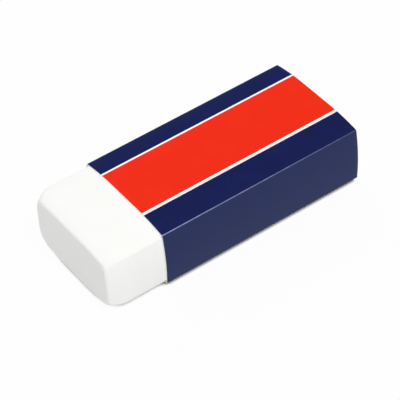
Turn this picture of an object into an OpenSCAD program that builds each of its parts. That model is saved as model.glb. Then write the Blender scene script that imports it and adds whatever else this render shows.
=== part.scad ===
// Rubber eraser in a folded and glued card sleeve.
// X runs along the eraser with the bare nose at -X, Y across it, and the part rests on the sleeve at Z = 0.

/* [Rubber block] */
// Length of the rubber block
block_l = 56; // [44:0.5:66]
// Width of the block, across the middle of its narrow sides
block_w = 24.6; // [18:0.1:32]
// Thickness of the block, across its broad faces
block_h = 13.2; // [10:0.1:18]
// Width of the flat strip along the middle of each broad face
flat_w = 8; // [3:0.5:12]
// Radius of the crown from the flat strip to the long edges
crown_r = 41; // [28:1:90]
// Radius of the slight bulge of the narrow sides
side_r = 46; // [35:1:150]
// Radius of the four long edges
edge_r = 0.9; // [0.6:0.1:2.6]
// Length over which each end sweeps in
end_l = 3.9; // [2:0.1:5]
// Radius of the sweep
sweep_r = 10; // [6:0.5:20]
// Radius of the edge round each end face
end_edge_r = 0.7; // [0.3:0.1:1.5]
// Corner radius of the end faces, as far as their height allows
end_corner_r = 4.4; // [0.8:0.1:5]

/* [Card sleeve] */
// Length of the sleeve
sleeve_l = 44; // [30:0.5:50]
// Thickness of the card
card_t = 0.25; // [0.2:0.05:0.6]
// Slip clearance between the rubber and the card
slip_gap = 0.05; // [0.04:0.01:0.2]
// Width of the ridge flattened along each crease
crease_w = 0.3; // [0.1:0.05:0.5]
// Height of the glue flap that hangs inside the far side
flap_h = 8.5; // [4:0.5:9]
// Gap from the far top crease down to the free edge of the far side
seam_drop = 0.7; // [0.3:0.1:2]

/* [Position of the sleeve] */
// Length of rubber that stands out of the sleeve
nose_l = 12.1; // [2:0.1:20]

/* [Printed fields] */
// Width of the red field along each broad face
field_w = 12.75; // [8:0.25:14]
// Distance of the field from the middle of the face
field_shift = 0.6; // [-1:0.1:1]
// Width of the white rule beside the field
rule_w = 0.6; // [0.3:0.1:1.2]

/* [Hidden] */
navy = [0.10, 0.13, 0.33];
red = [0.93, 0.18, 0.12];
print_white = [0.97, 0.97, 0.95];
rubber_white = [0.96, 0.96, 0.94];

// Slices along the sweep and round the edge of each end, and steps along each arc of the outline
sweep_steps = 4;
end_edge_steps = 4;
edge_steps = 6;
face_steps = 6;
side_steps = 4;

// Centres of the crown and bulge arcs of the section, on its +Y +Z quarter
crown_c = [flat_w / 2, block_h / 2 - crown_r];
side_c = [block_w / 2 - side_r, 0];

// Angle at which the sweep meets the end's edge, and how far both draw the end face in on all sides
sweep_a = asin((end_l - end_edge_r) / (sweep_r - end_edge_r));
end_inset = sweep_r - (sweep_r - end_edge_r) * cos(sweep_a);

// Corner radius of the end faces, kept within the half height of their narrow sides
end_r = min(end_corner_r, 0.9 * meet(crown_c, crown_r - end_inset, side_c, side_r - end_inset).y);

// How far the outside of a single and of a double card layer stands off the rubber
card_out = slip_gap + card_t;
double_out = slip_gap + 2 * card_t;
crease = meet(crown_c, crown_r + card_out, side_c, side_r + card_out);

overall_l = max(block_l, nose_l + sleeve_l);
nose_x = -overall_l / 2;
// The glued far side is one card thicker, and the part is centred across its whole width
centre_y = -card_t / 2;
centre_z = block_h / 2 + card_out;
reach = block_w + block_h;

// Outer crossing of two circles
function meet(c1, r1, c2, r2) =
    let (gap = norm(c2 - c1), u = (c2 - c1) / gap)
    let (along = (r1 * r1 - r2 * r2 + gap * gap) / (2 * gap))
    c1 + along * u + sqrt(r1 * r1 - along * along) * [u.y, -u.x];

function angle_of(v) = atan2(v.y, v.x);

// Points along an arc, without its first one
function arc(c, r, from, to, steps) =
    [for (k = [1:steps]) let (a = from + (to - from) * k / steps) c + r * [cos(a), sin(a)]];

// One quarter of the rubber's section, moved inwards by inset, with its corner growing towards the end face
function quarter(inset) =
    let (round_r = edge_r + (end_r - edge_r) * inset / end_inset)
    let (round_c = meet(crown_c, crown_r - inset - round_r, side_c, side_r - inset - round_r))
    let (side_a = angle_of(round_c - side_c), crown_a = angle_of(round_c - crown_c))
    concat(
        arc(side_c, side_r - inset, 0, side_a, side_steps),
        arc(round_c, round_r, side_a, crown_a, edge_steps),
        arc(crown_c, crown_r - inset, crown_a, 90, face_steps)
    );

function mirrored(points, sy, sz) = [for (p = points) [sy * p.x, sz * p.y]];
function reversed(points) = [for (k = [len(points) - 1:-1:0]) points[k]];

// Whole outline of the rubber's section
function block_outline(inset) =
    let (q = quarter(inset))
    concat(q, reversed(mirrored(q, -1, 1)), mirrored(q, -1, -1), reversed(mirrored(q, 1, -1)));

// Slices of one end, each with its distance from the end face and how far it is drawn in
end_slices = concat(
    [for (k = [0:sweep_steps - 1]) let (a = sweep_a * k / sweep_steps)
        [end_l - sweep_r * sin(a), sweep_r * (1 - cos(a))]],
    [for (k = [0:end_edge_steps]) let (a = sweep_a + (90 - sweep_a) * k / end_edge_steps)
        [end_edge_r * (1 - sin(a)), end_inset - end_edge_r * cos(a)]]
);

// Stands a section drawn in Y and Z along X
module along_x(length) {
    rotate([90, 0, 90]) linear_extrude(height = length, center = true) children();
}

module eraser_block() {
    color(rubber_white)
        translate([nose_x + block_l / 2, centre_y, centre_z])
            hull()
                for (slice = end_slices)
                    along_x(block_l - 2 * slice[0]) polygon(block_outline(slice[1]));
}

// Everything under one crowned broad face, the face grown outwards
module under_crown(grow) {
    for (s = [-1, 1]) translate([s * crown_c.x, crown_c.y]) circle(r = crown_r + grow, $fn = 180);
    translate([-flat_w / 2, 0]) square([flat_w, block_h / 2 + grow]);
}

// Sharp-cornered section with the broad faces and the near and far sides grown outwards
module panels(face_grow, near_grow, far_grow) {
    intersection() {
        under_crown(face_grow);
        mirror([0, 1]) under_crown(face_grow);
        translate([-side_c.x, 0]) circle(r = side_r + near_grow, $fn = 240);
        translate([side_c.x, 0]) circle(r = side_r + far_grow, $fn = 240);
    }
}

// The part of a section on the far side and below a height
module far_side_below(height) {
    intersection() {
        children();
        translate([0, height - reach]) square([reach, reach]);
    }
}

// Cuts the tip off one crease, at right angles to its bisector
module crease_cut(sy, sz, side_grow) {
    tip = meet(crown_c, crown_r + card_out, side_c, side_r + side_grow);
    face_a = angle_of(tip - crown_c);
    side_a = angle_of(tip - side_c);
    depth = crease_w / 2 * tan((face_a - side_a) / 2);
    mirror([1 - sy, 0]) mirror([0, 1 - sz])
        translate(tip) rotate((face_a + side_a) / 2) translate([-depth, -crease_w]) square(2 * crease_w);
}

// The folded card: one layer all round, with the glue flap inside the far side
module sleeve_section() {
    difference() {
        union() {
            panels(card_out, card_out, card_out);
            far_side_below(crease.y - seam_drop) panels(card_out, card_out, double_out);
        }
        panels(slip_gap, slip_gap, slip_gap);
        far_side_below(crease.y - flap_h) panels(slip_gap, slip_gap, card_out);
        for (sz = [0, 1]) crease_cut(0, sz, card_out);
        crease_cut(1, 1, card_out);
        crease_cut(1, 0, double_out);
    }
}

// A strip of the section between two distances across the face
module strip(from, to) {
    translate([from, -reach]) square([to - from, 2 * reach]);
}

module card_sleeve() {
    field_from = field_shift - field_w / 2;
    field_to = field_shift + field_w / 2;
    translate([nose_x + nose_l + sleeve_l / 2, centre_y, centre_z]) {
        color(navy) along_x(sleeve_l) difference() {
            sleeve_section();
            strip(field_from - rule_w, field_to + rule_w);
        }
        color(print_white) along_x(sleeve_l) intersection() {
            sleeve_section();
            union() {
                strip(field_from - rule_w, field_from);
                strip(field_to, field_to + rule_w);
            }
        }
        color(red) along_x(sleeve_l) intersection() {
            sleeve_section();
            strip(field_from, field_to);
        }
    }
}

eraser_block();
card_sleeve();
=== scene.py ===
# White rubber eraser in a folded card sleeve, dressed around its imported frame.
import math

import bmesh
import bpy
from mathutils import Matrix, Vector


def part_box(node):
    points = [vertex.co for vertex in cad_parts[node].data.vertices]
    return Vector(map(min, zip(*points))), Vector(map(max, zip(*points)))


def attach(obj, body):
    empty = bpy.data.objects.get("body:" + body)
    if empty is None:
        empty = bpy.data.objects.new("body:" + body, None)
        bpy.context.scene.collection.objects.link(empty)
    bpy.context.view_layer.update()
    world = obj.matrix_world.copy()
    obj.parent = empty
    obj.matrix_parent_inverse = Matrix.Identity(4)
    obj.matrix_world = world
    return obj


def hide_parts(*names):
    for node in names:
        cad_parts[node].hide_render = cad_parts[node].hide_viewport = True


mm = 0.001

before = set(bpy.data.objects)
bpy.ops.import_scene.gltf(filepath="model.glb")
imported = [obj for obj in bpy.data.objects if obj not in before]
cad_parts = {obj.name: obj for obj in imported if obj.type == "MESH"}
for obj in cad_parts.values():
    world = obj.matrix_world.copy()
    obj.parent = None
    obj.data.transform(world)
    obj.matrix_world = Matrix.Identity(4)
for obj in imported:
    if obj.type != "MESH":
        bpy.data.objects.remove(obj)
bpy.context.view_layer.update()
print("frame loaded:", sorted(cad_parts))

scene = bpy.context.scene
blockLow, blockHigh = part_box("eraser_block")
sleeveLow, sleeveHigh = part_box("card_sleeve")

# sizes that the rubber and the card share, in millimetres
section = {
    "flatWidth": 8.0,         # flat strip along each broad face
    "crownRadius": 41.0,      # curve from the flat strip to the long edges
    "sideRadius": 46.0,       # bulge of the narrow sides
    "slipGap": 0.05,          # rubber to card
    "cardThickness": 0.25,
}
blockWidth = (blockHigh.y - blockLow.y) / mm
blockHeight = (blockHigh.z - blockLow.z) / mm
centreY = (blockHigh.y + blockLow.y) / 2
centreZ = (blockHigh.z + blockLow.z) / 2


# plane geometry of the section, on its +Y +Z quarter, in millimetres

def crownCentre():
    return Vector((section["flatWidth"] / 2, blockHeight / 2 - section["crownRadius"]))


def sideCentre():
    return Vector((blockWidth / 2 - section["sideRadius"], 0.0))


def meet(centreA, radiusA, centreB, radiusB):
    # outer crossing of two circles
    gap = (centreB - centreA).length
    u = (centreB - centreA) / gap
    along = (radiusA ** 2 - radiusB ** 2 + gap ** 2) / (2 * gap)
    return centreA + along * u + math.sqrt(radiusA ** 2 - along ** 2) * Vector((u.y, -u.x))


def angleOf(v):
    return math.atan2(v.y, v.x)


def arcPoints(centre, radius, start, end, steps, withFirst=False):
    first = 0 if withFirst else 1
    angles = [start + (end - start) * k / steps for k in range(first, steps + 1)]
    return [centre + radius * Vector((math.cos(a), math.sin(a))) for a in angles]


def smoothStep(x):
    x = min(max(x, 0.0), 1.0)
    return x * x * (3 - 2 * x)


def linked(name, data):
    obj = bpy.data.objects.new(name, data)
    scene.collection.objects.link(obj)
    return obj


# node helpers

def addNode(tree, kind, inputs=None, **settings):
    # inputs are named or numbered, and each takes a socket or a plain value
    node = tree.nodes.new(kind)
    for name, value in settings.items():
        setattr(node, name, value)
    for key, value in (inputs or {}).items():
        if isinstance(value, bpy.types.NodeSocket):
            tree.links.new(value, node.inputs[key])
        else:
            node.inputs[key].default_value = value
    return node


def calc(tree, operation, a, b):
    return addNode(tree, "ShaderNodeMath", {0: a, 1: b}, operation=operation).outputs[0]


def mixColours(tree, factor, a, b):
    return addNode(tree, "ShaderNodeMix", {0: factor, 6: a, 7: b}, data_type="RGBA").outputs[2]


def mixShaders(tree, factor, a, b):
    return addNode(tree, "ShaderNodeMixShader", {0: factor, 1: a.outputs[0], 2: b.outputs[0]})


def mapRange(tree, value, source, target, kind="LINEAR"):
    inputs = {
        "Value": value,
        "From Min": source[0],
        "From Max": source[1],
        "To Min": target[0],
        "To Max": target[1],
    }
    return addNode(tree, "ShaderNodeMapRange", inputs, interpolation_type=kind).outputs["Result"]


def ramp(tree, value, low, high):
    # 0 below low, 1 above high, smooth between
    return mapRange(tree, value, (low, high), (0.0, 1.0), "SMOOTHSTEP")


def bumpNormal(tree, height, strength, depth):
    # depth in millimetres
    inputs = {"Height": height, "Strength": strength, "Distance": depth * mm}
    return addNode(tree, "ShaderNodeBump", inputs).outputs["Normal"]


def newMaterial(name):
    material = bpy.data.materials.new(name)
    material.use_nodes = True
    material.node_tree.nodes.clear()
    return material, material.node_tree


def addSurface(tree, inputs):
    # one principled shader, straight to the output
    shader = addNode(tree, "ShaderNodeBsdfPrincipled", inputs)
    addNode(tree, "ShaderNodeOutputMaterial", {"Surface": shader.outputs["BSDF"]})


def colour(red, green, blue):
    # sRGB 0-255 to scene linear
    def linear(v):
        v /= 255
        return v / 12.92 if v <= 0.04045 else ((v + 0.055) / 1.055) ** 2.4
    return (linear(red), linear(green), linear(blue), 1.0)


plainWhite = (1.0, 1.0, 1.0, 1.0)


# shared effect: blotches and fine grain, used by rubber and card

def makeGrainGroup():
    group = bpy.data.node_groups.new("Grain and blotches", "ShaderNodeTree")
    for name, value in (("Blotch Size", 4.0), ("Grain Size", 0.12), ("Stretch", 1.0)):
        socket = group.interface.new_socket(name, in_out="INPUT", socket_type="NodeSocketFloat")
        socket.default_value = value
    for name in ("Blotches", "Grain"):
        group.interface.new_socket(name, in_out="OUTPUT", socket_type="NodeSocketFloat")
    given = group.nodes.new("NodeGroupInput").outputs
    where = group.nodes.new("ShaderNodeTexCoord").outputs["Object"]
    # a stretch below 1 draws the grain out along X
    stretch = addNode(group, "ShaderNodeCombineXYZ", {"X": given["Stretch"], "Y": 1.0, "Z": 1.0})
    stretched = addNode(group, "ShaderNodeVectorMath", {0: where, 1: stretch.outputs[0]},
                        operation="MULTIPLY")
    blotches = addNode(group, "ShaderNodeTexNoise", {
        "Vector": where,
        "Scale": calc(group, "DIVIDE", 1 / mm, given["Blotch Size"]),
        "Detail": 3.0,
        "Roughness": 0.55,
    })
    grain = addNode(group, "ShaderNodeTexNoise", {
        "Vector": stretched.outputs[0],
        "Scale": calc(group, "DIVIDE", 1 / mm, given["Grain Size"]),
        "Detail": 2.0,
        "Roughness": 0.6,
    })
    addNode(group, "NodeGroupOutput", {"Blotches": blotches.outputs["Fac"], "Grain": grain.outputs["Fac"]})
    return group


grainGroup = makeGrainGroup()


def grainOutputs(tree, blotchSize, grainSize, stretch=1.0):
    # sizes in millimetres
    inputs = {"Blotch Size": blotchSize, "Grain Size": grainSize, "Stretch": stretch}
    node = addNode(tree, "ShaderNodeGroup", inputs, node_tree=grainGroup)
    return node.outputs["Blotches"], node.outputs["Grain"]


print("shared node group ready")


# rubber

rubber = {
    "longEdge": 0.9,          # radius of the four long edges, mm
    "endLength": 3.9,         # each end sweeps in over this length, mm
    "sweepRadius": 10.0,      # mm
    "endEdge": 0.7,           # radius of the edge round each end face, mm
    "nearCorner": 2.2,        # corner radii of the end faces, mm
    "farCorner": 4.4,
    "cornerShare": 0.9,       # the most that a corner takes of an end face's half height
    "farDraw": 0.1,           # the far side draws in this much more towards the ends, mm
    "lean": 0.36,             # the end faces skew to the near side by this much over half the height, mm
    "endDome": 0.1,           # the end faces bulge by this much, mm
    "swell": 0.04,            # the bare nose stands this much prouder than the rubber in the card, mm
    "swellRun": 0.9,          # the swell fades over this length inside the sleeve's mouth, mm
    "endSteps": 10,           # rings of the sweep, and of the edge round the end face
    "capRings": (0.93, 0.8, 0.6, 0.38, 0.18),    # rings on the end face, as shares of its outline
    "bodyStep": 1.0,          # spacing of the rings along the straight part, mm
    "fineStep": 0.15,         # and of those near the sleeve's mouth, mm
    "fineReach": 1.35,        # near is within this distance, mm
    "sideSteps": 8,           # points round one quarter of the outline
    "cornerSteps": 12,
    "crownSteps": 10,
    "faceColour": colour(249, 249, 247),
    "shadeColour": colour(248, 248, 245),
    "blotchSize": 5.0,        # mm
    "blotchEdge": (0.35, 0.7),      # noise levels where the shade colour starts and is full
    "grainSize": 0.16,        # mm
    "roughness": (0.54, 0.7),       # lowest and highest, it follows the grain
    "sheen": 0.35,            # specular level
    "softness": 0.12,         # subsurface weight
    "softTint": (1.0, 0.95, 0.88),
    "softDepth": 0.8,         # mm
    "bump": (0.3, 0.03),      # strength, and depth in mm
    "blotchRelief": 0.7,      # shares of the bump's height
    "grainRelief": 0.3,
}


def endInset(slope):
    # how far sweep and edge together draw the end face in
    return rubber["sweepRadius"] - (rubber["sweepRadius"] - rubber["endEdge"]) * math.cos(slope)


def endProfile():
    # (distance from the end face, how far the outline is drawn in), from the straight part to the end face
    radius, edge, length = rubber["sweepRadius"], rubber["endEdge"], rubber["endLength"]
    steps = rubber["endSteps"]
    slope = math.asin((length - edge) / (radius - edge))
    sweep = [slope * k / steps for k in range(steps)]
    turn = [slope + (math.pi / 2 - slope) * k / steps for k in range(steps + 1)]
    profile = [(length - radius * math.sin(a), radius * (1 - math.cos(a))) for a in sweep]
    return profile + [(edge * (1 - math.sin(a)), endInset(slope) - edge * math.cos(a)) for a in turn]


def rubberQuarter(inset, roundRadius, grow):
    # one quarter of the section, drawn in on all sides by inset and then grown
    crown, side = crownCentre(), sideCentre()
    crownRadius = section["crownRadius"] - inset
    sideRadius = section["sideRadius"] - inset
    corner = meet(crown, crownRadius - roundRadius, side, sideRadius - roundRadius)
    sideAngle, crownAngle = angleOf(corner - side), angleOf(corner - crown)
    quarter = arcPoints(side, sideRadius + grow, 0.0, sideAngle, rubber["sideSteps"])
    quarter += arcPoints(corner, roundRadius + grow, sideAngle, crownAngle, rubber["cornerSteps"])
    return quarter + arcPoints(crown, crownRadius + grow, crownAngle, math.pi / 2, rubber["crownSteps"])


def rubberOutline(inset, fullInset, grow=0.0):
    # whole outline of the section, its near and far corners growing towards the end face
    share = inset / fullInset
    crownRadius, sideRadius = section["crownRadius"] - fullInset, section["sideRadius"] - fullInset
    endTip = meet(crownCentre(), crownRadius, sideCentre(), sideRadius)
    quarters = []
    for key in ("nearCorner", "farCorner"):
        endCorner = min(rubber[key], rubber["cornerShare"] * endTip.y)
        roundRadius = rubber["longEdge"] + (endCorner - rubber["longEdge"]) * share
        quarters.append(rubberQuarter(inset, roundRadius, grow))
    near, far = quarters
    draw = rubber["farDraw"] * share
    far = [Vector((p.x - draw * smoothStep(2 * p.x / blockWidth), p.y)) for p in far]
    points = list(far)
    points += [Vector((-p.x, p.y)) for p in reversed(near)]
    points += [Vector((-p.x, -p.y)) for p in near]
    points += [Vector((p.x, -p.y)) for p in reversed(far)]
    lean = rubber["lean"] * share / (blockHeight / 2)
    return [Vector((p.x - lean * p.y, p.y)) for p in points]


def swellAt(x):
    # soft rubber stands proud where no card holds it
    return rubber["swell"] * smoothStep(1 + (sleeveLow.x / mm - x) / rubber["swellRun"])


def bodyStations(start, end):
    # rings of the straight part, closer together next to the mouth
    mouth = sleeveLow.x / mm
    stations = []
    x = start
    while x < end - rubber["bodyStep"]:
        x += rubber["fineStep"] if abs(x - mouth) < rubber["fineReach"] else rubber["bodyStep"]
        stations.append(x)
    return [x for x in stations if x < end - rubber["fineStep"]]


def ringAt(bm, x, points):
    return [bm.verts.new((x * mm, p.x * mm + centreY, p.y * mm + centreZ)) for p in points]


def bridge(bm, a, b):
    for k in range(len(a)):
        n = (k + 1) % len(a)
        bm.faces.new((a[k], a[n], b[n], b[k]))


def closeEnd(bm, outer, points, x, out):
    # a shallow dome over one end face, out is the way that it looks along X
    last = outer
    for share in rubber["capRings"]:
        ring = ringAt(bm, x + out * rubber["endDome"] * (1 - share ** 2), [p * share for p in points])
        bridge(bm, last, ring)
        last = ring
    tip = bm.verts.new(((x + out * rubber["endDome"]) * mm, centreY, centreZ))
    for k in range(len(last)):
        bm.faces.new((last[k], last[(k + 1) % len(last)], tip))


def makeRubberMesh():
    low, high = blockLow.x / mm, blockHigh.x / mm
    profile = endProfile()
    fullInset = profile[-1][1]
    body = bodyStations(low + rubber["endLength"], high - rubber["endLength"])
    stations = [(low + away, inset) for away, inset in reversed(profile)]
    stations += [(x, 0.0) for x in body]
    stations += [(high - away, inset) for away, inset in profile]

    bm = bmesh.new()
    rings = [ringAt(bm, x, rubberOutline(inset, fullInset, swellAt(x))) for x, inset in stations]
    for a, b in zip(rings, rings[1:]):
        bridge(bm, a, b)
    for outer, x, out in ((rings[0], low, -1), (rings[-1], high, 1)):
        closeEnd(bm, outer, rubberOutline(fullInset, fullInset, swellAt(x)), x, out)
    bmesh.ops.recalc_face_normals(bm, faces=bm.faces)
    mesh = bpy.data.meshes.new("eraserRubber")
    bm.to_mesh(mesh)
    bm.free()
    mesh.shade_smooth()
    return mesh


def makeRubberMaterial():
    material, tree = newMaterial("soft white rubber")
    blotches, grain = grainOutputs(tree, rubber["blotchSize"], rubber["grainSize"])
    tint = ramp(tree, blotches, *rubber["blotchEdge"])
    blotchHeight = calc(tree, "MULTIPLY", blotches, rubber["blotchRelief"])
    grainHeight = calc(tree, "MULTIPLY", grain, rubber["grainRelief"])
    addSurface(tree, {
        "Base Color": mixColours(tree, tint, rubber["faceColour"], rubber["shadeColour"]),
        "Roughness": mapRange(tree, grain, (0.0, 1.0), rubber["roughness"]),
        "Specular IOR Level": rubber["sheen"],
        "Subsurface Weight": rubber["softness"],
        "Subsurface Radius": rubber["softTint"],
        "Subsurface Scale": rubber["softDepth"] * mm,
        "Normal": bumpNormal(tree, calc(tree, "ADD", blotchHeight, grainHeight), *rubber["bump"]),
    })
    return material


rubberBlock = linked("eraserRubber", makeRubberMesh())
rubberBlock.data.materials.append(makeRubberMaterial())
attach(rubberBlock, "block")
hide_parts("eraser_block")
print("rubber block made:", len(rubberBlock.data.polygons), "faces")


# card sleeve

card = {
    "creaseRadius": 0.28,     # outside radius of each crease, mm
    "flapHeight": 8.5,        # glue flap inside the far side, mm
    "seamDrop": 0.7,          # far top crease to the free edge of the far side, mm
    "glueGap": 0.01,          # mm
    "sideSteps": 10,          # points on half a side, round a crease, on half a face, and up to the seam
    "creaseSteps": 6,
    "faceSteps": 9,
    "seamSteps": 8,
    "lengthSteps": 44,
    "rimBevel": 0.035,        # softened cut edges, mm
    "rimSegments": 2,
    "rimAngle": 50,           # degrees, edges sharper than this are cut edges
    "fieldFrom": -5.86,       # red field across the face, mm from the middle of the block
    "fieldTo": 6.98,
    "nearRule": 0.62,         # white rules beside the field, mm
    "farRule": 0.43,
    "printSoft": 0.03,        # the print's edges are soft by this much each way, mm
    "printRagged": 0.06,      # and ragged by this much, mm
    "navy": colour(17, 27, 85),
    "navyDeep": colour(15, 25, 79),
    "red": colour(240, 36, 4),
    "redWarm": colour(241, 41, 2),
    "paper": colour(250, 249, 247),
    "blotchSize": 6.0,        # mm
    "blotchEdge": (0.3, 0.75),      # noise levels where the second tone of an ink starts and is full
    "grainSize": 0.09,        # mm
    "grainStretch": 0.35,     # the grain runs along the sleeve
    # pale mark along the creases: ink rubbed off the card, and on the near top crease, which faces the key
    # lamp, a painted highlight as well
    "crease": colour(160, 170, 218),
    "mouthCreaseMark": 1.28,        # strength of the crease mark, worn ink with painted highlight, at the mouth and at the far end
    "farCreaseMark": 0.28,
    "otherCreaseShare": 0.3,        # share of it on all but the near top crease, which alone carries the painted highlight
    "creaseMarkEdge": (0.2, 0.85),  # how sharply the crease mark ends beside the crease
    "patchSize": 1.4,         # mm, the crease mark is patchy
    "patchEdge": (0.3, 0.65),       # noise levels of the least and the most marked patches
    "patchMark": (0.35, 0.8),       # and how strong the mark is there
    "roughness": (0.31, 0.43),      # lowest and highest, it follows the blotches
    "varnish": 0.275,         # coat weight, all the sheen is in this coat
    "varnishIor": 1.9,
    "varnishRoughness": 0.3,
    "bump": (0.25, 0.03),     # strength, and depth in mm
    "grainRelief": 0.4,       # grain's share of the bump, beside the blotches
}


def foldPath():
    # the blank's outer face as it goes round: (y, z, crease weight), from the flap's edge to the seam's edge
    crown, side = crownCentre(), sideCentre()
    single = section["slipGap"] + section["cardThickness"]
    double = single + section["cardThickness"] + card["glueGap"]
    crownRadius = section["crownRadius"] + single
    nearRadius = section["sideRadius"] + single
    farRadius = section["sideRadius"] + double
    fold = card["creaseRadius"]
    crease = meet(crown, crownRadius, side, nearRadius)

    def quarter(sideRadius, sideFrom):
        # from a height on the side, round the crease, up to the flat strip
        corner = meet(crown, crownRadius - fold, side, sideRadius - fold)
        sideAngle, crownAngle = angleOf(corner - side), angleOf(corner - crown)
        start = math.asin(sideFrom / sideRadius)
        up = arcPoints(side, sideRadius, start, sideAngle, card["sideSteps"], withFirst=True)
        steps = card["creaseSteps"]
        bend = arcPoints(corner, fold, sideAngle, crownAngle, steps)
        over = arcPoints(crown, crownRadius, crownAngle, math.pi / 2, card["faceSteps"])
        # the crease mark, worn ink with painted highlight, is strongest in the middle of its bend
        wornAndLit = [(p, 1.0 - abs(2 * (k + 1) / steps - 1)) for k, p in enumerate(bend)]
        return [(p, 0.0) for p in up] + wornAndLit + [(p, 0.0) for p in over]

    def placed(points, sy, sz, markShare=card["otherCreaseShare"]):
        return [(sy * p.x, sz * p.y, markShare * weight) for p, weight in points]

    flap = placed(quarter(nearRadius, crease.y - card["flapHeight"]), 1, 1)
    # the near top crease faces the key lamp: it takes the full mark, worn ink with painted highlight, and the
    # others take only their share of wear
    nearTop = placed(quarter(nearRadius, 0.0), -1, 1, 1.0)
    nearBottom = placed(quarter(nearRadius, 0.0), -1, -1)
    farBottom = placed(quarter(farRadius, 0.0), 1, -1)
    seamAngle = math.asin((crease.y - card["seamDrop"]) / farRadius)
    rise = [(p.x, p.y, 0.0) for p in arcPoints(side, farRadius, 0.0, seamAngle, card["seamSteps"])]
    return flap + nearTop[::-1] + nearBottom[1:] + farBottom[::-1] + rise


def makeFoldPathObject():
    points = foldPath()
    mesh = bpy.data.meshes.new("foldPath")
    verts = [(0.0, y * mm, z * mm) for y, z, weight in points]
    mesh.from_pydata(verts, [(k, k + 1) for k in range(len(points) - 1)], [])
    # weight of the crease mark: worn ink, plus a painted highlight on the near top crease
    wornAndLit = mesh.attributes.new("creaseWearAndHighlight", "FLOAT", "POINT")
    for k, (y, z, weight) in enumerate(points):
        wornAndLit.data[k].value = weight
    return linked("foldPath", mesh)


def makeSleeveTree():
    # sweeps the fold path along the sleeve's length
    tree = bpy.data.node_groups.new("Folded card", "GeometryNodeTree")
    for name, kind in (("Geometry", "Geometry"), ("Length", "Float"), ("Length Steps", "Int"),
                       ("Place", "Vector"), ("Card", "Material")):
        tree.interface.new_socket(name, in_out="INPUT", socket_type="NodeSocket" + kind)
    tree.interface.new_socket("Geometry", in_out="OUTPUT", socket_type="NodeSocketGeometry")
    given = tree.nodes.new("NodeGroupInput").outputs
    path = addNode(tree, "GeometryNodeMeshToCurve", {"Mesh": given["Geometry"]})
    ends = []
    for share in (-0.5, 0.5):
        x = calc(tree, "MULTIPLY", given["Length"], share)
        ends.append(addNode(tree, "ShaderNodeCombineXYZ", {"X": x}).outputs[0])
    line = addNode(tree, "GeometryNodeCurvePrimitiveLine", {"Start": ends[0], "End": ends[1]})
    steps = addNode(tree, "GeometryNodeResampleCurve", {
        "Curve": line.outputs[0],
        "Count": given["Length Steps"],
    })
    sweep = addNode(tree, "GeometryNodeCurveToMesh", {
        "Curve": path.outputs[0],
        "Profile Curve": steps.outputs[0],
    })
    place = addNode(tree, "GeometryNodeSetPosition", {"Geometry": sweep.outputs[0], "Offset": given["Place"]})
    smooth = addNode(tree, "GeometryNodeSetShadeSmooth", {"Geometry": place.outputs[0]})
    real = addNode(tree, "GeometryNodeRealizeInstances", {"Geometry": smooth.outputs[0]})
    paint = addNode(tree, "GeometryNodeSetMaterial", {"Geometry": real.outputs[0], "Material": given["Card"]})
    addNode(tree, "NodeGroupOutput", {"Geometry": paint.outputs[0]})
    return tree


def setInputs(modifier, values):
    # a modifier's inputs are set by the identifier of each socket
    for item in modifier.node_group.interface.items_tree:
        if item.in_out == "INPUT" and item.name in values:
            modifier[item.identifier] = values[item.name]


def printMask(tree, place, low, high):
    # 1 between two places across the face, in millimetres
    soft = card["printSoft"]
    above = ramp(tree, place, (low - soft) * mm, (low + soft) * mm)
    beyond = ramp(tree, place, (high - soft) * mm, (high + soft) * mm)
    return calc(tree, "SUBTRACT", above, beyond)


def printedInk(tree, across, blotches, grain):
    # red field between white rules on navy
    ragged = calc(tree, "MULTIPLY", calc(tree, "SUBTRACT", grain, 0.5), card["printRagged"] * mm)
    place = calc(tree, "ADD", across, ragged)
    field = printMask(tree, place, card["fieldFrom"], card["fieldTo"])
    rules = printMask(tree, place, card["fieldFrom"] - card["nearRule"], card["fieldTo"] + card["farRule"])
    uneven = ramp(tree, blotches, *card["blotchEdge"])
    navy = mixColours(tree, uneven, card["navy"], card["navyDeep"])
    red = mixColours(tree, uneven, card["red"], card["redWarm"])
    return mixColours(tree, field, mixColours(tree, rules, navy, card["paper"]), red)


def creaseWearAndHighlight(tree, where, along):
    # the pale crease mark: ink rubbed off, with a painted highlight on the near top crease, most near the
    # mouth
    weight = addNode(tree, "ShaderNodeAttribute", attribute_name="creaseWearAndHighlight").outputs["Fac"]
    noise = addNode(tree, "ShaderNodeTexNoise", {
        "Vector": where,
        "Scale": 1 / (card["patchSize"] * mm),
        "Detail": 5.0,
        "Roughness": 0.7,
    })
    patchy = mapRange(tree, noise.outputs["Fac"], card["patchEdge"], card["patchMark"])
    fade = mapRange(tree, along, (sleeveLow.x, sleeveHigh.x), (card["mouthCreaseMark"], card["farCreaseMark"]))
    level = calc(tree, "MULTIPLY", ramp(tree, weight, *card["creaseMarkEdge"]), patchy)
    return calc(tree, "MULTIPLY", level, fade)


def makeCardMaterial():
    material, tree = newMaterial("printed card")
    where = tree.nodes.new("ShaderNodeTexCoord").outputs["Object"]
    parts = addNode(tree, "ShaderNodeSeparateXYZ", {"Vector": where}).outputs
    across = calc(tree, "SUBTRACT", parts["Y"], centreY)
    blotches, grain = grainOutputs(tree, card["blotchSize"], card["grainSize"], card["grainStretch"])
    ink = printedInk(tree, across, blotches, grain)
    height = calc(tree, "ADD", blotches, calc(tree, "MULTIPLY", grain, card["grainRelief"]))
    addSurface(tree, {
        # pale crease mark over the ink: worn ink with a painted highlight on the near top crease
        "Base Color": mixColours(tree, creaseWearAndHighlight(tree, where, parts["X"]), ink, card["crease"]),
        "Roughness": mapRange(tree, blotches, (0.0, 1.0), card["roughness"]),
        "Specular IOR Level": 0.0,
        "Coat Weight": card["varnish"],
        "Coat IOR": card["varnishIor"],
        "Coat Roughness": card["varnishRoughness"],
        "Normal": bumpNormal(tree, height, *card["bump"]),
    })
    return material


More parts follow.
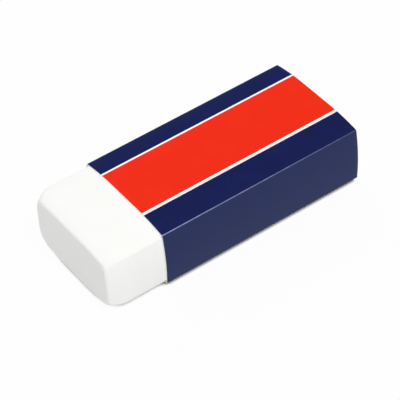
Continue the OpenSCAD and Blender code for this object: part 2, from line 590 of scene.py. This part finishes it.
# unprinted card: the inside of the sleeve, and its cut edges

rawCard = {
    "inside": colour(226, 223, 214),
    "cutEdge": colour(252, 251, 249),
    "blotch": colour(214, 210, 200),
    "blotchSize": 2.5,        # mm
    "blotchEdge": (0.4, 0.8),       # noise levels where a blotch starts and is full
    "blotchStrength": 0.25,
    "grainSize": 0.07,        # mm
    "fibreEdge": (0.3, 0.75),       # noise levels where a fibre starts and is full
    "fibreShade": 0.88,       # tone of the fibres, as a share of the card's
    "insideStretch": 0.5,     # the fibres inside run along the sleeve
    "roughness": 0.85,
    "bump": (0.5, 0.03),      # strength, and depth in mm
}


def makeRawCardMaterial(name, tone, stretch=1.0):
    material, tree = newMaterial(name)
    blotches, grain = grainOutputs(tree, rawCard["blotchSize"], rawCard["grainSize"], stretch)
    fibreTone = tuple(v * rawCard["fibreShade"] for v in tone[:3]) + (1.0,)
    fibres = mixColours(tree, ramp(tree, grain, *rawCard["fibreEdge"]), tone, fibreTone)
    blotched = calc(tree, "MULTIPLY", ramp(tree, blotches, *rawCard["blotchEdge"]), rawCard["blotchStrength"])
    addSurface(tree, {
        "Base Color": mixColours(tree, blotched, fibres, rawCard["blotch"]),
        "Roughness": rawCard["roughness"],
        "Normal": bumpNormal(tree, grain, *rawCard["bump"]),
    })
    return material


def sweptCard(centre):
    # the fold path swept along the sleeve, as a plain mesh with its faces looking out
    path = makeFoldPathObject()
    modifier = path.modifiers.new("folded card", "NODES")
    modifier.node_group = makeSleeveTree()
    setInputs(modifier, {
        "Length": sleeveHigh.x - sleeveLow.x,
        "Length Steps": card["lengthSteps"],
        "Place": centre,
        "Card": makeCardMaterial(),
    })
    bpy.context.view_layer.update()
    evaluated = path.evaluated_get(bpy.context.evaluated_depsgraph_get())
    mesh = bpy.data.meshes.new_from_object(evaluated)
    mesh.name = "cardSleeve"
    bpy.data.objects.remove(path)
    outward = sum((p.center - centre).dot(p.normal) * p.area for p in mesh.polygons)
    if outward < 0:
        mesh.flip_normals()
    return mesh


def makeSleeve():
    centre = Vector(((sleeveLow.x + sleeveHigh.x) / 2, centreY, centreZ))
    mesh = sweptCard(centre)
    mesh.materials.append(makeRawCardMaterial("raw card inside", rawCard["inside"], rawCard["insideStretch"]))
    mesh.materials.append(makeRawCardMaterial("cut card edge", rawCard["cutEdge"]))
    sleeve = linked("cardSleeve", mesh)
    thick = sleeve.modifiers.new("card thickness", "SOLIDIFY")
    thick.thickness = section["cardThickness"] * mm
    thick.offset = -1.0
    thick.use_even_offset = True
    thick.use_rim = True
    thick.material_offset = 1         # raw card inside
    thick.material_offset_rim = 2     # cut card edge
    soft = sleeve.modifiers.new("soft cut edges", "BEVEL")
    soft.width = card["rimBevel"] * mm
    soft.segments = card["rimSegments"]
    soft.limit_method = "ANGLE"
    soft.angle_limit = math.radians(card["rimAngle"])
    return sleeve


sleeve = makeSleeve()
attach(sleeve, "sleeve")
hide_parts("card_sleeve")
print("card sleeve made:", len(sleeve.data.polygons), "faces before its thickness")


# floor, light and camera

studio = {
    "floorSize": 3.0,         # m
    "floorTone": (0.8, 0.8, 0.8, 1.0),
    "floorGlow": 0.95,        # how far the open floor turns plain white, to the camera and in gloss
    "glossTone": (0.86, 1.0, 1.0, 1.0),    # cool cast of the floor in gloss
    "contactReach": 1.2,      # mm, the object shades the floor this near to it
    "contactEdge": (0.48, 0.62),    # that shade is full below the first share of open sky, gone at the second
    "contactSamples": 16,
    "worldLevel": 0.62,       # soft light from all round
    "wallFade": (0.02, 0.3),  # gloss shows a white wall that fades between these heights
    "ceilingLevel": 0.11,     # to this overhead
    "lampDistance": 0.5,      # m
    "lamps": (                # name, level, direction that it comes from, width in degrees, shown in gloss
        ("key", 1.29, (0.05, -0.66, 1.0), 22.0, True),
        ("back fill", 0.6, (0.05, 0.86, 0.5), 30.0, False),
    ),
}


def makeFloorMaterial():
    # the floor keeps its own tone and shadows, and open floor turns white to the camera and in gloss; an
    # occlusion mask keeps the white off near the object, which paints a contact shade there on top of the
    # real shadow
    material, tree = newMaterial("pale floor")
    light = tree.nodes.new("ShaderNodeLightPath").outputs
    whiteTone = mixColours(tree, light["Is Glossy Ray"], plainWhite, studio["glossTone"])
    own = addNode(tree, "ShaderNodeBsdfDiffuse", {"Color": studio["floorTone"]})
    white = addNode(tree, "ShaderNodeEmission", {"Color": whiteTone, "Strength": 1.0})
    # occlusion near the object: a painted contact shade, laid over the floor's real shadow
    near = addNode(tree, "ShaderNodeAmbientOcclusion", {"Distance": studio["contactReach"] * mm},
                   samples=studio["contactSamples"])
    seen = calc(tree, "MAXIMUM", light["Is Camera Ray"], light["Is Glossy Ray"])
    share = calc(tree, "MULTIPLY", seen, studio["floorGlow"])
    share = calc(tree, "MULTIPLY", share, ramp(tree, near.outputs["AO"], *studio["contactEdge"]))
    addNode(tree, "ShaderNodeOutputMaterial", {"Surface": mixShaders(tree, share, own, white).outputs[0]})
    return material


def makeFloor():
    half = studio["floorSize"] / 2
    corners = [(-half, -half, 0), (half, -half, 0), (half, half, 0), (-half, half, 0)]
    mesh = bpy.data.meshes.new("floor")
    mesh.from_pydata(corners, [], [(0, 1, 2, 3)])
    mesh.materials.append(makeFloorMaterial())
    linked("floor", mesh)


def makeWorld():
    # plain soft light, with a white wall that fades to a dim ceiling in gloss
    world = bpy.data.worlds.new("studio")
    scene.world = world
    world.use_nodes = True
    tree = world.node_tree
    tree.nodes.clear()
    light = tree.nodes.new("ShaderNodeLightPath").outputs
    direction = tree.nodes.new("ShaderNodeTexCoord").outputs["Generated"]
    height = addNode(tree, "ShaderNodeSeparateXYZ", {"Vector": direction}).outputs["Z"]
    wall = mapRange(tree, height, studio["wallFade"], (1.0, studio["ceilingLevel"]), "SMOOTHSTEP")
    soft, inGloss, white = (
        addNode(tree, "ShaderNodeBackground", {"Color": plainWhite, "Strength": strength})
        for strength in (studio["worldLevel"], wall, 1.0)
    )
    lit = mixShaders(tree, light["Is Glossy Ray"], soft, inGloss)
    seen = calc(tree, "MAXIMUM", light["Is Camera Ray"], light["Is Transmission Ray"])
    addNode(tree, "ShaderNodeOutputWorld", {"Surface": mixShaders(tree, seen, lit, white).outputs[0]})


def makeLamps():
    for name, level, comesFrom, angle, inGloss in studio["lamps"]:
        lamp = bpy.data.lights.new(name, "SUN")
        lamp.energy = level
        lamp.angle = math.radians(angle)
        sun = linked(name, lamp)
        toLamp = Vector(comesFrom).normalized()
        sun.rotation_euler = toLamp.to_track_quat("Z", "Y").to_euler()
        sun.location = toLamp * studio["lampDistance"]
        sun.visible_glossy = inGloss


view = {
    "azimuth": -32.19,        # degrees, 0 looks along +Y
    "elevation": 43.67,
    "roll": -4.97,
    "distance": 399.0,        # mm
    "aim": (6.05, -0.15, 0.91),     # mm
    "slide": (-4.821, -1.124),      # mm, along the picture's own axes
    "lens": 190.24,           # mm
    "sensor": 36.0,           # mm, its width
    "clip": (0.01, 20.0),     # m
}


def makeCamera():
    azimuth, elevation, roll = (math.radians(view[key]) for key in ("azimuth", "elevation", "roll"))
    back = Vector((math.sin(azimuth) * math.cos(elevation), -math.cos(azimuth) * math.cos(elevation),
                   math.sin(elevation)))
    level = (-back).cross(Vector((0, 0, 1))).normalized()
    rise = level.cross(-back)
    right = math.cos(roll) * level + math.sin(roll) * rise
    up = math.cos(roll) * rise - math.sin(roll) * level
    place = Vector(view["aim"]) + view["distance"] * back + view["slide"][0] * right + view["slide"][1] * up
    lens = bpy.data.cameras.new("camera")
    lens.lens = view["lens"]
    lens.sensor_width = view["sensor"]
    lens.clip_start, lens.clip_end = view["clip"]
    camera = linked("camera", lens)
    turned = Matrix((right, up, back)).transposed().to_4x4()
    camera.matrix_world = Matrix.Translation(place * mm) @ turned
    scene.camera = camera


makeFloor()
makeWorld()
makeLamps()
makeCamera()
scene.view_settings.view_transform = "Standard"
print("floor, light and camera set")
